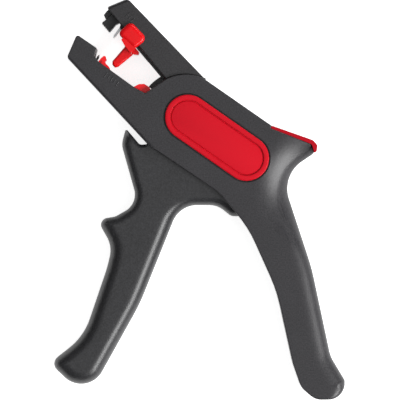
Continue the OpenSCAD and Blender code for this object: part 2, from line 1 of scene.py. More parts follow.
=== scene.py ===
import math
import bmesh
import bpy
import numpy as np
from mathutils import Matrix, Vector
from mathutils.bvhtree import BVHTree
from mathutils.geometry import delaunay_2d_cdt


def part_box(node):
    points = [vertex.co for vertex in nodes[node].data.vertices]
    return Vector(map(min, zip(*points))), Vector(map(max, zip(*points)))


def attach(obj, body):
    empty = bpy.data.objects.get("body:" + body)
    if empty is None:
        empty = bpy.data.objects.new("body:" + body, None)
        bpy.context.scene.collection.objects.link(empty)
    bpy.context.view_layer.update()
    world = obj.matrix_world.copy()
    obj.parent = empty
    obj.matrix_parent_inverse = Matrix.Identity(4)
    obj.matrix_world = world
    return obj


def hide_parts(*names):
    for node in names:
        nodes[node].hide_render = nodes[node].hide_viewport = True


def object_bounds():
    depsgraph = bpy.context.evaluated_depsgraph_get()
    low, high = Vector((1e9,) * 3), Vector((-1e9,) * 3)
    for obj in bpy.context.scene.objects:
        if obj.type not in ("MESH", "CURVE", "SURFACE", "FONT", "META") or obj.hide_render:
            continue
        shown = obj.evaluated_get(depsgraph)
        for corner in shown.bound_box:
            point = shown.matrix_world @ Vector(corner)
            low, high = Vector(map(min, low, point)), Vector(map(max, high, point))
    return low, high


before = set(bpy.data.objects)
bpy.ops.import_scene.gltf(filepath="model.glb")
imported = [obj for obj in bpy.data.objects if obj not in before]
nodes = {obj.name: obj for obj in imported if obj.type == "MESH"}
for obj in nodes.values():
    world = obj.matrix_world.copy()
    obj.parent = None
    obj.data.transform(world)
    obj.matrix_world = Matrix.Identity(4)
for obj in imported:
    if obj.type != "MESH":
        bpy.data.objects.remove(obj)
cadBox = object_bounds()
mm = 0.001
tiny = 1e-12  # keeps a division from meeting zero
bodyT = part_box("front_shell")[1].z / mm  # thickness over both shells
mid = bodyT / 2

# Image points, in pixels of the photograph's 400 x 400 frame.
imagePoints = {
    "left": (54.2, None),
    "right": (344.6, None),
    "top": (None, 0.6),
    "bottom": (None, 398.6),
    "badgeUpperEnd": (188.0, 118.0),
    "badgeLowerEnd": (246.4, 158.6),
    "stopCap": (132.6, 36.3),
    "stopTip": (115.3, 66.3),
    "upperJawTip": (124.3, 1.2),
    "lowerJawTip": (78.4, 37.0),
    "hornTip": (126.6, 131.5),
    "bump": (101.2, 226.3),
    "stripCorner": (316.4, 146.3),
    "throatRoot": (146.0, 93.2),
    "upperMarks": (129.5, 17.5),
    "lowerMarks": (111.5, 79.0),
}
imageSize = 400

# Corner lists: x, y, corner radius, then width and depth of the edge roll that follows, in mm.
fine = (0.5, 0.5)
lip = (1.4, 1.0)
bevel = (1.6, 1.2)
grip = (8.0, 6.0)
gripEnd = (7.0, 5.4)
bay = (3.6, 3.6)
palm = (6.5, 7.0)
thumb = (4.5, 5.0)
horn = (2.0, 3.0)
inner = (1.0, 1.0)

# The housing's seam with the upper jaw is an arc about the pivot, between these two angles.
seamR, seamEase = 21.0, 0.3
seamFrom, seamTo = 66.4, 116.7
jawTurn = {"upper": 129.9, "lower": 144.3}  # direction of each jaw's own x axis, in degrees


def polar(radius, degrees):
    return radius * math.cos(math.radians(degrees)), radius * math.sin(math.radians(degrees))


seamTip = seamR / math.cos(math.radians((seamTo - seamFrom) / 2))
housingCorners = [
    (-51.9, 40.1, 1.2, fine), (-56.7, 29, 2, bevel), (-17.9, -12.7, 4, fine), (15.8, -35.3, 30, fine),
    (30, -52.2, 60, fine), (43.6, -82.5, 70, fine), (51.2, -117, 40, fine), (55.2, -128.6, 8, fine),
    (62, -134.5, 8, lip), (76.3, -134.3, 7.8, gripEnd), (76.2, -125.2, 2, grip), (69.4, -113.8, 16, grip),
    (60.4, -71.5, 90, grip), (45.9, -27.2, 15.7, bay), (61.5, -16.7, 1.6, lip), (60.3, -12.4, 2, fine),
    (40.65, -4.78, 0.1, fine), (41.2, -3.6, 0.3, fine), (*polar(seamR, seamFrom), 0.01, fine),
    (*polar(seamTip, (seamFrom + seamTo) / 2), seamR - seamEase, fine), (*polar(seamR, seamTo), 0.01, fine),
    (-19.3, 12, 1.2, fine), (-24.3, 14.7, 3, fine), (-41.8, 27.3, 0.8, fine), (-43.5, 29.3, 1.2, fine),
    (-42.4, 33.5, 0.8, fine),
]
triggerCorners = [
    (-28.7, -4.6, 0.8, thumb), (-30.7, -12.5, 9, thumb), (-22.8, -40.7, 9, thumb), (-33.8, -47, 8, thumb),
    (-42.6, -48.3, 3.4, palm), (-35.3, -61.2, 13, palm), (-37.7, -71.5, 60, palm), (-48.9, -104.4, 30, palm),
    (-65.2, -117.2, 4.2, palm), (-47.3, -134.4, 11.5, palm), (-22, -89, 90, palm), (-2.9, -41.5, 12.5, thumb),
    (15.2, -41.5, 11, thumb), (21.8, -46.8, 4, thumb), (26.9, -46.9, 0.8, inner), (9.4, -1, 2, inner),
    (-9, -2, 2, inner), (-16.6, -8.8, 1.5, inner), (-18.7, -12.3, 0.6, horn), (-21.9, -12.6, 2.4, horn),
]

# A corner gets a point every few degrees and at least the fewest, and no side is longer than the longest. A bend of
# less sine than straight counts as none, and leastRadius is what an inset leaves of a corner.
outlineSet = {"step": 4.0, "fewest": 3, "longest": 1.6, "straight": 0.02, "leastRadius": 0.15}


# Rounded polygon whose edges move inward by their own roll widths.
class Outline:
    def __init__(self, corners, longest=outlineSet["longest"]):
        self.at = np.array([c[:2] for c in corners], float)
        self.radius = np.array([c[2] for c in corners], float)
        self.width, self.depth = np.array([c[3] for c in corners], float).T
        ahead = np.roll(self.at, -1, 0) - self.at
        self.edge = np.linalg.norm(ahead, axis=1)
        self.out = ahead / self.edge[:, None]
        self.into = np.roll(self.out, 1, 0)
        self.cross = self.into[:, 0] * self.out[:, 1] - self.into[:, 1] * self.out[:, 0]
        self.bend = np.arctan2(self.cross, (self.into * self.out).sum(1))
        steps = np.ceil(np.degrees(np.abs(self.bend)) / outlineSet["step"])
        self.count = np.maximum(outlineSet["fewest"], steps).astype(int)
        base = self.corners(0.0, self.width)
        gap = np.linalg.norm(np.roll(base, -1, 0) - base, axis=1)
        self.parts = np.maximum(1, np.ceil(gap / longest)).astype(int)

    # Points and roll depths at share f of the widths; a shift solves for both moved edges.
    def corners(self, f, width):
        wa, wb = f * np.roll(width, 1), f * width
        na = np.stack([-self.into[:, 1], self.into[:, 0]], 1)
        nb = np.stack([-self.out[:, 1], self.out[:, 0]], 1)
        flat = np.abs(self.cross) < outlineSet["straight"]
        d = np.where(flat, 1.0, self.cross)[:, None]
        turn = np.stack([wa * nb[:, 1] - wb * na[:, 1], wb * na[:, 0] - wa * nb[:, 0]], 1) / d
        p = self.at + np.where(flat[:, None], nb * wb[:, None], turn)
        w = np.maximum(wa, wb)
        r = np.where(self.bend > 0, np.maximum(self.radius - w, outlineSet["leastRadius"]), self.radius + w)
        side = (np.sign(self.bend) * r)[:, None] * na
        centre = p - self.into * (r * np.tan(np.abs(self.bend) / 2))[:, None] + side
        rows = []
        for i, n in enumerate(self.count):
            s = np.linspace(0, 1, n + 1)
            a = self.bend[i] * s
            x = centre[i, 0] - (side[i, 0] * np.cos(a) - side[i, 1] * np.sin(a))
            y = centre[i, 1] - (side[i, 0] * np.sin(a) + side[i, 1] * np.cos(a))
            drop = self.depth[i - 1] + (self.depth[i] - self.depth[i - 1]) * s
            rows.append(np.stack([x, y, drop], 1))
        return np.concatenate(rows)

    # The same with long edges divided, so that every ring has the same points.
    def ring(self, f, width=None):
        base = self.corners(f, self.width if width is None else width)
        after = np.roll(base, -1, 0)
        pieces = [base[i] + (after[i] - base[i]) * np.arange(n)[:, None] / n for i, n in enumerate(self.parts)]
        return np.concatenate(pieces)


# Rolled edge: at angle a the ring is inset by 1 - cos a of its width and stands 1 - sin a of its depth below the face.
def rolledRings(outline, half, steps):
    rings = []
    for a in np.radians(np.linspace(0, 90, steps + 1)):
        ring = outline.ring(1 - math.cos(a))
        rings.append(np.column_stack([ring[:, :2], half - ring[:, 2] * (1 - math.sin(a))]))
    return rings


# Quads between rings: point j of ring i is number i * columns + j, and the last column joins the first.
def gridFaces(rows, columns):
    i = np.arange(rows - 1)[:, None]
    j = np.arange(columns)[None, :]
    a = i * columns + j
    b = i * columns + (j + 1) % columns
    return np.stack([a, b, b + columns, a + columns], 2).reshape(-1, 4)


# A loop laid flat at height z.
def level(loop, z):
    return np.column_stack([loop[:, :2], np.full(len(loop), z)])


# Points at r from a centre, counter-clockwise.
def circleLoop(x, y, r, n=40):
    a = np.linspace(0, 2 * np.pi, n, endpoint=False)
    return np.column_stack([x + r * np.cos(a), y + r * np.sin(a)])


# Round-ended loop about two centres, counter-clockwise: half a circle about each, of n points.
def stadiumLoop(a, b, r, n=28):
    a, b = np.array(a), np.array(b)
    turn = math.atan2(*(b - a)[::-1]) + np.linspace(-np.pi / 2, np.pi / 2, n)
    around = r * np.stack([np.cos(turn), np.sin(turn)], 1)
    return np.concatenate([b + around, a - around])


# Even-odd rule: a point is inside where a line to its right crosses the loop an odd number of times.
def inside(points, loop):
    a, b = loop, np.roll(loop, -1, 0)
    x, y = points[:, 0][:, None], points[:, 1][:, None]
    crosses = (a[:, 1] > y) != (b[:, 1] > y)
    rise = np.where(b[:, 1] == a[:, 1], tiny, b[:, 1] - a[:, 1])
    at = a[:, 0] + (y - a[:, 1]) * (b[:, 0] - a[:, 0]) / rise
    return (crosses & (x < at)).sum(1) % 2 == 1


# Distance from each point to the nearest side of the loop.
def distance(points, loop):
    a, b = loop[None], np.roll(loop, -1, 0)[None]
    p = points[:, None]
    along = b - a
    t = np.clip(((p - a) * along).sum(2) / np.maximum((along * along).sum(2), tiny), 0, 1)
    return np.linalg.norm(p - a - along * t[..., None], axis=2).min(1)


fillSet = {"rowShare": 0.87, "clear": 0.55, "merge": 1e-7}


# Flat face between a boundary loop and hole loops, filled with a triangle grid that a height can bend. The grid's
# points keep clear of the loops by a share of the spacing, and a Delaunay net joins all of them.
def filledFace(loop, holes, spacing):
    low, high = loop.min(0), loop.max(0)
    rows = np.arange(low[1], high[1], spacing * fillSet["rowShare"])
    xs, ys = np.meshgrid(np.arange(low[0], high[0], spacing), rows)
    xs[1::2] += spacing / 2
    clear = spacing * fillSet["clear"]
    free = np.stack([xs.ravel(), ys.ravel()], 1)
    free = free[inside(free, loop) & (distance(free, loop) > clear)]
    for hole in holes:
        free = free[~inside(free, hole) & (distance(free, hole) > clear)]
    edges, start = [], 0
    for part in (loop, *holes):
        edges += [(start + k, start + (k + 1) % len(part)) for k in range(len(part))]
        start += len(part)
    points = np.concatenate([loop, *holes, free]).tolist()
    made = delaunay_2d_cdt([Vector(p) for p in points], edges, [], 0, fillSet["merge"])
    flat = np.array([tuple(v) for v in made[0]])
    faces = np.array(made[2])
    centres = flat[faces].mean(1)
    keep = inside(centres, loop)
    for hole in holes:
        keep &= ~inside(centres, hole)
    return flat, faces[keep]


def newObject(name, data):
    made = bpy.data.objects.new(name, data)
    bpy.context.scene.collection.objects.link(made)
    return made


smoothTo = 35  # degrees between neighbouring faces up to which they are shaded as one
weldAt = 0.004  # mm within which points are merged


# Merges doubled points, turns the faces outwards and shades them smooth up to an angle.
def tidy(mesh, weld=weldAt, angle=smoothTo):
    work = bmesh.new()
    work.from_mesh(mesh)
    bmesh.ops.remove_doubles(work, verts=work.verts, dist=weld * mm)
    bmesh.ops.dissolve_degenerate(work, edges=work.edges, dist=weld * mm / 4)
    bmesh.ops.recalc_face_normals(work, faces=work.faces)
    work.to_mesh(mesh)
    work.free()
    mesh.shade_smooth()
    mesh.set_sharp_from_angle(angle=math.radians(angle))


# Collects points in mm and faces for one mesh, then makes the object in metres.
class Build:
    def __init__(self, name):
        self.name, self.points, self.faces, self.size = name, [], [], 0

    def add(self, points, faces, flip=False):
        faces = np.asarray(faces) + self.size
        self.faces += (faces[:, ::-1] if flip else faces).tolist()
        self.points.append(np.asarray(points, float))
        self.size += len(points)

    def rings(self, rings):
        self.add(np.concatenate(rings), gridFaces(len(rings), len(rings[0])))

    def cap(self, ring, flip=False):
        self.add(ring, np.arange(len(ring))[None], flip)

    # A skin of rings with both ends capped.
    def closed(self, rings):
        self.rings(rings)
        self.cap(rings[0], True)
        self.cap(rings[-1])

    def face(self, loop, z, spacing, holes=(), flip=False):
        flat, faces = filledFace(loop[:, :2], holes, spacing)
        self.add(level(flat, z), faces, flip)

    # A flat part with both faces rolled: the rings are mirrored about the middle plane.
    def slab(self, outline, half, steps, spacing):
        upper = rolledRings(outline, half, steps)
        rings = [ring * [1, 1, -1] + [0, 0, mid] for ring in upper[::-1]] + [ring + [0, 0, mid] for ring in upper]
        self.rings(rings)
        self.face(rings[-1], mid + half, spacing)
        self.face(rings[0], mid - half, spacing, flip=True)

    # Carries the points from a jaw's frame into the tool's.
    def carry(self, at, degrees):
        self.points = [turned(points, at, degrees) for points in self.points]

    def finish(self, body, weld=weldAt, angle=smoothTo):
        mesh = bpy.data.meshes.new(self.name)
        mesh.from_pydata((np.concatenate(self.points) * mm).tolist(), [], self.faces)
        piece = newObject(self.name, mesh)
        tidy(mesh, weld, angle)
        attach(piece, body)
        return piece


# Places of a jaw's frame in the tool's: turned by the angle, then moved.
def turned(points, at, degrees):
    across, up = np.array(polar(1, degrees)), np.array(polar(1, degrees + 90))
    return np.column_stack([np.array(at) + points[:, :1] * across + points[:, 1:2] * up, points[:, 2]])


# Shader maths: a socket whose operators add the Math nodes.
class Field:
    def __init__(self, tree, socket):
        self.tree, self.socket = tree, socket

    # Any node: inputs by name or number, properties by keyword, output by number.
    def node(self, kind, inputs, out=0, **props):
        made = self.tree.nodes.new(kind)
        for key, value in props.items():
            setattr(made, key, value)
        for key, value in inputs.items():
            put(self.tree, made.inputs[key], value)
        return Field(self.tree, made.outputs[out])

    def join(self, kind, a, b):
        return self.node("ShaderNodeMath", {0: a, 1: b}, operation=kind)

    def __add__(self, other):
        return self.join("ADD", self, other)

    def __radd__(self, other):
        return self.join("ADD", other, self)

    def __sub__(self, other):
        return self.join("SUBTRACT", self, other)

    def __rsub__(self, other):
        return self.join("SUBTRACT", other, self)

    def __mul__(self, other):
        return self.join("MULTIPLY", self, other)

    def __rmul__(self, other):
        return self.join("MULTIPLY", other, self)

    def step(self, low, high):
        return self.node("ShaderNodeMapRange", {"Value": self, "From Min": low, "From Max": high},
                         interpolation_type="SMOOTHSTEP")


def put(tree, slot, value):
    if isinstance(value, Field):
        tree.links.new(value.socket, slot)
    else:
        slot.default_value = value


def newMaterial(name):
    material = bpy.data.materials.new(name)
    material.use_nodes = True
    tree = material.node_tree
    shader = tree.nodes["Principled BSDF"]
    coords = tree.nodes.new("ShaderNodeTexCoord")
    return material, tree, shader, Field(tree, coords.outputs["Object"])


def noise(at, scale, detail, rough=0.5):
    return at.node("ShaderNodeTexNoise", {"Vector": at, "Scale": scale, "Detail": detail, "Roughness": rough})


def mixColour(at, share, a, b):
    return at.node("ShaderNodeMix", {0: share, 6: a, 7: b}, 2, data_type="RGBA")


def tint(rgb, k):
    return tuple(min(1.0, c * k) for c in rgb) + (1.0,)


def bumped(at, strength, deep, height):
    return at.node("ShaderNodeBump", {"Strength": strength, "Distance": deep, "Height": height})


# Moulded plastic: spark-eroded grain as bump, slow cloudiness in the colour, and rubbed patches that are smoother.
# The grain also speckles the colour, partly as its own tone and partly as painted glints that stand in for light
# caught on the grain; cloud is how far the colour swings either way, for both together.
# Noise lies about 0.5, so that is taken off before a share of it is added.
plasticSet = {
    "grain": 1500, "grainDepth": 0.9, "deep": 0.00005, "grainAndGlintSpeckle": 1.8, "cloud": 0.6, "cloudScale": 60,
    "cloudShare": 0.3, "rubScale": 25, "grainRough": 0.05, "rubRough": 0.06, "specular": 0.5,
}


def plastic(name, rgb, rough, settings=None):
    s = {**plasticSet, **(settings or {})}
    material, tree, shader, at = newMaterial(name)
    grain = noise(at, s["grain"], detail=3.0, rough=0.6)
    cloud = noise(at, s["cloudScale"], detail=3.0)
    rubbed = noise(at, s["rubScale"], detail=4.0).step(low=0.5, high=0.75)
    # Colour share: slow cloudiness, plus grain speckle that is partly the plastic's tone and partly painted glints.
    toneAndGlints = 0.5 + s["cloudShare"] * (cloud - 0.5) + s["grainAndGlintSpeckle"] * (grain - 0.5)
    colour = mixColour(at, toneAndGlints, tint(rgb, 1 - s["cloud"]), tint(rgb, 1 + s["cloud"]))
    put(tree, shader.inputs["Base Color"], colour)
    put(tree, shader.inputs["Roughness"], rough + s["grainRough"] * (grain - 0.5) - s["rubRough"] * rubbed)
    put(tree, shader.inputs["Normal"], bumped(at, s["grainDepth"], s["deep"], grain))
    put(tree, shader.inputs["Specular IOR Level"], s["specular"])
    return material


# Ground steel: long fine scratches along one axis, faint stains.
steelSet = {
    "along": (400, 9000, 9000), "lineDepth": 0.25, "deep": 0.00002, "lineRough": 0.18,
    "stainScale": 220, "stainRough": 0.08, "clean": 1.05, "stained": 0.8,
}


def steel(name, rgb, rough, metallic=1.0):
    s = steelSet
    material, tree, shader, at = newMaterial(name)
    stretched = at.node("ShaderNodeMapping", {"Vector": at, "Scale": s["along"]})
    lines = noise(stretched, 1.0, detail=3.0, rough=0.7)
    stain = noise(at, s["stainScale"], detail=3.0).step(low=0.45, high=0.8)
    colour = mixColour(at, stain, tint(rgb, s["clean"]), tint(rgb, s["stained"]))
    put(tree, shader.inputs["Base Color"], colour)
    put(tree, shader.inputs["Roughness"], rough + s["lineRough"] * (lines - 0.5) + s["stainRough"] * stain)
    put(tree, shader.inputs["Normal"], bumped(at, s["lineDepth"], s["deep"], lines))
    put(tree, shader.inputs["Metallic"], metallic)
    return material


def paint(piece, material):
    piece.data.materials.clear()
    piece.data.materials.append(material)
    return piece


def repaint(names, material):
    for name in names:
        for slot in nodes[name].material_slots:
            slot.material = material


housingPlastic = plastic("housingPlastic", (0.026, 0.025, 0.028), 0.42)
jawPlastic = plastic("jawPlastic", (0.024, 0.023, 0.025), 0.4)
triggerPlastic = plastic("triggerPlastic", (0.024, 0.024, 0.026), 0.37)
badgeRed = plastic("badgeRed", (0.54, 0.005, 0.015), 0.3,
                   {"grain": 5000, "grainDepth": 0.15, "cloud": 0.04, "specular": 0.12})
stopRed = plastic("stopRed", (0.68, 0.005, 0.008), 0.26,
                  {"grain": 5000, "grainDepth": 0.12, "cloud": 0.04, "specular": 0.2})
slideRed = plastic("slideRed", (0.80, 0.005, 0.010), 0.34, {"grainDepth": 0.2, "cloud": 0.06, "specular": 0.35})
stripRed = plastic("stripRed", (0.40, 0.006, 0.014), 0.6,
                   {"grain": 2400, "grainDepth": 0.4, "cloud": 0.06, "specular": 0.05})
padBlack = plastic("padBlack", (0.014, 0.014, 0.015), 0.45)
noseBlack = plastic("noseBlack", (0.012, 0.012, 0.013), 0.4)
bladeSteel = steel("bladeSteel", (0.52, 0.53, 0.54), 0.32)
darkSteel = steel("darkSteel", (0.06, 0.06, 0.062), 0.4, 0.9)
linkSteel = steel("linkSteel", (0.02, 0.02, 0.022), 0.5, 0.6)
pinSteel = steel("pinSteel", (0.5, 0.5, 0.51), 0.3)
screwSteel = steel("screwSteel", (0.4, 0.4, 0.41), 0.35)
springSteel = steel("springSteel", (0.42, 0.42, 0.43), 0.3)
print("materials made")


# Cuts a prism out of a piece, or joins one to it, with an exact boolean that is applied at once.
def carve(piece, tool, kind="DIFFERENCE"):
    modifier = piece.modifiers.new("carve", "BOOLEAN")
    modifier.operation = kind
    modifier.solver = "EXACT"
    modifier.object = tool
    bpy.context.view_layer.update()
    graph = bpy.context.evaluated_depsgraph_get()
    mesh = bpy.data.meshes.new_from_object(piece.evaluated_get(graph))
    piece.modifiers.clear()
    piece.data = mesh
    bpy.data.objects.remove(tool)


def prism(loop, low, high):
    loop = np.asarray(loop, float)
    n = len(loop)
    points = np.concatenate([level(loop, low), level(loop, high)])
    faces = [list(range(n))[::-1], list(range(n, 2 * n))] + gridFaces(2, n).tolist()
    mesh = bpy.data.meshes.new("tool")
    mesh.from_pydata((points * mm).tolist(), [], faces)
    return newObject("tool", mesh)


# Shells. The badge sits in a pit of the front one, and the screws' heads in pits of the rear one: the first inFace
# of them lie in its flat face, and the others reach over its rolled edge.
badgeSet = {
    "a": (1.0, 0.5), "span": 34.2, "turn": -34.9, "r": 10.8, "gap": 0.75, "seat": 1.8, "proud": 0.8, "roll": 0.5,
    "rollAt": (20, 40, 60, 80), "rim": 2.8, "dish": 0.35, "groove": 0.85, "soft": (0.06, 0.04),
    "steps": (0.55, 0.4, 0.3, 0.15, -0.1, -0.4, -0.55), "smoothTo": 40,
}
badgeEnd = tuple(np.add(badgeSet["a"], polar(badgeSet["span"], badgeSet["turn"])))
screwSet = {
    "at": [(-30.8, 7.4), (27.5, 1.0), (52.6, -16.2), (54.6, -78.0), (66.2, -122.6)],
    "pitR": 2.5, "pitDepth": 2.0, "past": 1.0, "inFace": 2,
}
shellSet = {
    "rollSteps": 12, "wall": 2.4, "wallShare": 0.25, "shortEdge": 6, "shortWall": 0.5, "ceiling": 8.4,
    "rimLeft": 0.15, "spacing": 1.6, "liningSpacing": 2.6, "leastSkin": 0.3,
    "bayDish": {"centre": (64.5, -33.6), "radius": 15.7, "reach": 16.0, "fall": 6.0, "power": 1.9},
    "windows": [
        [(-19.6, -10.6), (-16.8, -8.8), (30, -30), (34, -44), (28.5, -52), (20, -60), (-30, -30)],
        [(0.3, 0.7), (15, 25), (-10, 36), (-30, 30), (-27, 15), (-14, 2)],
        [(-24, 12), (-16, 16), (-40, 34), (-44.2, 30.2), (-43.0, 26.0)],
    ],
}


# Height of the rim's lower edge: the middle plane, or just under the ceiling within the windows, where the trigger,
# the upper jaw and the slide pass.
def rimLow(base):
    low = np.zeros(len(base))
    for window in shellSet["windows"]:
        low[inside(base, np.array(window, float))] = shellSet["ceiling"] - shellSet["rimLeft"]
    return low


# Drop of the front face beside the handle's bay: fall times t to the power, where t is the share of the reach still
# left at a point's distance from a circle about the bay's centre.
def dishDrop(points):
    dish = shellSet["bayDish"]
    away = np.abs(np.linalg.norm(points[:, :2] - np.array(dish["centre"]), axis=1) - dish["radius"])
    return dish["fall"] * np.clip(1 - away / dish["reach"], 0, 1) ** dish["power"]


# One shell, first as heights above the middle plane: rolled skin, rim, thin inner wall and ceiling. On the front one
# the dish lowers the skin in proportion to its height, and the ceiling only where less than leastSkin would be left.
# The heights then go forward or back from the middle plane. Short edges get a thinner wall, so that the inner wall
# folds less over itself at the corners.
def shellPiece(name, front, pits):
    s = shellSet
    outline = Outline(housingCorners)
    base = outline.ring(0)[:, :2]
    low = rimLow(base)
    wall = np.where(outline.edge < s["shortEdge"], s["shortWall"], s["wall"] + s["wallShare"] * outline.width)
    within = outline.ring(1, wall)[:, :2]
    skin = [np.column_stack([base, low])] + rolledRings(outline, mid, s["rollSteps"])
    build = Build(name)
    build.rings([level(within, s["ceiling"]), np.column_stack([within, low]), skin[0]])
    build.rings(skin)
    build.face(within, s["ceiling"], s["liningSpacing"], flip=True)
    build.face(skin[-1], mid, s["spacing"], [pit["loop"] for pit in pits])
    for pit in pits:
        floor = level(pit["loop"], mid - pit["depth"])
        build.rings([floor, level(pit["loop"], mid)])
        build.cap(floor)
    spare = mid - s["ceiling"] - s["leastSkin"]
    for points in build.points:
        height = points[:, 2]
        drop = dishDrop(points) if front else np.zeros(len(points))
        fall = np.where(np.isclose(height, s["ceiling"]), np.maximum(drop - spare, 0),
                        drop * np.clip(height / mid, 0, 1))
        points[:, 2] = mid + (1 if front else -1) * (height - fall)
    return build.finish("housing")


badgePit = {"loop": stadiumLoop(badgeSet["a"], badgeEnd, badgeSet["r"] + badgeSet["gap"]), "depth": badgeSet["seat"]}
screwLoops = [circleLoop(x, y, screwSet["pitR"]) for x, y in screwSet["at"]]
screwPits = [{"loop": loop, "depth": screwSet["pitDepth"]} for loop in screwLoops[:screwSet["inFace"]]]
frontShell = paint(shellPiece("frontShell", True, [badgePit]), housingPlastic)
rearShell = paint(shellPiece("rearShell", False, screwPits), housingPlastic)
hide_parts("front_shell")
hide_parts("rear_shell")
print("shells made", len(frontShell.data.polygons), len(rearShell.data.polygons))

# These pits are cut out of the finished skin. tidy() isn't run after it, because it turns part of the shell round.
for loop in screwLoops[screwSet["inFace"]:]:
    carve(rearShell, prism(loop, -screwSet["past"], screwSet["pitDepth"]))

# Trigger: a slab with both faces rolled, a boss joined round the pivot, the slot for the jaw's hub and the bore cut.
triggerSet = {
    "half": 8.0, "rollSteps": 12, "longest": 3.0, "spacing": 2.0, "slot": 3.7, "drawPin": (16.0, 221.3),
    "slotAtPin": [(-4.2, -0.4), (-1.6, -3.6), (2.4, -3.0)], "slotAtHub": [(8, -8.6), (11.6, -3), (10, 14), (-26, 14)],
    "boss": 9.5, "bossPast": 0.05, "bossPoints": 64, "bore": 3.05, "boreHalf": 12, "borePoints": 48, "weld": 0.001,
}


def triggerPiece():
    s = triggerSet
    build = Build("triggerBody")
    build.slab(Outline(triggerCorners, s["longest"]), s["half"], s["rollSteps"], s["spacing"])
    piece = build.finish("trigger")
    boss = circleLoop(0, 0, s["boss"], s["bossPoints"])
    carve(piece, prism(boss, mid - s["half"] - s["bossPast"], mid + s["half"] + s["bossPast"]), "UNION")
    slot = np.concatenate([np.add(polar(*s["drawPin"]), s["slotAtPin"]), s["slotAtHub"]])
    carve(piece, prism(slot, mid - s["slot"], mid + s["slot"]))
    carve(piece, prism(circleLoop(0, 0, s["bore"], s["borePoints"]), mid - s["boreHalf"], mid + s["boreHalf"]))
    tidy(piece.data, s["weld"])
    return piece


triggerBody = paint(triggerPiece(), triggerPlastic)
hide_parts("trigger")
print("trigger made", len(triggerBody.data.polygons))


# Badge: a section of radius against height is swept round the stadium. From the outside in: the side, a rolled edge,
# a flat rim, a groove inside it, and the middle, which is flat and lies deeper than the rim.
def badgePiece():
    s = badgeSet
    r, roll, soft = s["r"], s["roll"], s["soft"]
    top = bodyT + s["proud"]
    groove, dish = top - s["groove"], top - s["dish"]
    section = [(r, bodyT - s["seat"]), (r, top - roll)]
    section += [(r - roll + roll * math.cos(a), top - roll + roll * math.sin(a)) for a in np.radians(s["rollAt"])]
    heights = [top, top - soft[0], groove + soft[0], groove, groove, dish - soft[1], dish]
    section += zip(r - s["rim"] + np.array(s["steps"]), heights)
    build = Build("badgePlate")
    build.closed([level(stadiumLoop(s["a"], badgeEnd, radius), z) for radius, z in section])
    return build.finish("housing", angle=s["smoothTo"])


badgePlate = paint(badgePiece(), badgeRed)
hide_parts("badge")
print("badge made", len(badgePlate.data.polygons))

# Length stop, in the upper jaw's frame: a pillowed cap on the front, a round-edged arm, the neck through the jaw and
# the plate behind it. Each part is a closed skin of rings.
stopSet = {
    "at": (-9.5, 18.9), "turn": jawTurn["upper"], "face": 21.0, "top": 23.4, "armHalf": 2.8, "rollSteps": 8,
    "longest": 1.2, "spacing": 1.4, "smoothTo": 40, "capMiddle": (26.0, -1.0), "armTip": (21.0, 15.0),
    "cap": [(20.1, -5.6, 2.8), (31.8, -4.8, 2.6), (31.3, 3.9, 2.2), (20.5, 2.4, 1.6)], "capRoll": (2.6, 1.5),
    "arm": [(27.9, 4.3, 0.4), (24.6, 4.9, 1.0), (23.1, 14.1, 1.1), (21.8, 15.2, 0.8), (19.9, 15.2, 0.8),
            (19.2, 13.6, 0.8), (19.1, 4.9, 0.5), (20.4, 1.6, 0.4), (27.6, 1.6, 0.4)], "armRoll": (1.0, 1.4),
    "blocks": [
        {"loop": [(28.2, 1.6), (27.9, 4.3), (24.6, 4.9), (20.0, 4.9), (20.2, 1.6)], "low": 0.3, "high": 22.8},
        {"loop": [(21.5, -3.6), (29.5, -3.6), (29.5, 2.4), (21.5, 2.4)], "low": 0.25, "high": 1.0},
        {"loop": [(20.3, 1.55), (20.2, 4.2), (18.9, 4.2), (17.3, 2.6), (18.0, 1.55)], "low": 6.0, "high": 16.0},
    ],
}


def stopPiece():
    s = stopSet
    build = Build("lengthStop")
    cap = rolledRings(Outline([c + (s["capRoll"],) for c in s["cap"]], s["longest"]), s["top"], s["rollSteps"])
    base = level(cap[0], s["face"])
    build.rings([base] + cap)
    build.cap(base, True)
    build.face(cap[-1], s["top"], s["spacing"])
    arm = Outline([c + (s["armRoll"],) for c in s["arm"]], s["longest"])
    build.slab(arm, s["armHalf"], s["rollSteps"], s["spacing"])
    for block in s["blocks"]:
        loop = np.array(block["loop"], float)
        build.closed([level(loop, block["low"]), level(loop, block["high"])])
    build.carry(s["at"], s["turn"])
    return build.finish("length_stop", angle=s["smoothTo"])


lengthStop = paint(stopPiece(), stopRed)
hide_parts("length_stop")
print("stop made", len(lengthStop.data.polygons))

repaint(["upper_jaw"], jawPlastic)
repaint(["corner_strip"], stripRed)
repaint(["lower_slide"], slideRed)
repaint(["upper_grip_pad", "lower_grip_pad", "upper_slide"], padBlack)
repaint(["nose_guide"], noseBlack)
repaint(["upper_blade"], bladeSteel)
repaint(["lower_blade"], darkSteel)
repaint(["pull_link"], linkSteel)
repaint(["pivot_pin", "pad_pin", "draw_pin", "link_pin_lower", "link_pin_upper", "upper_blade_rivet",
         "lower_blade_rivet"], pinSteel)
repaint(["housing_screws"], screwSteel)
repaint(["return_spring"], springSteel)

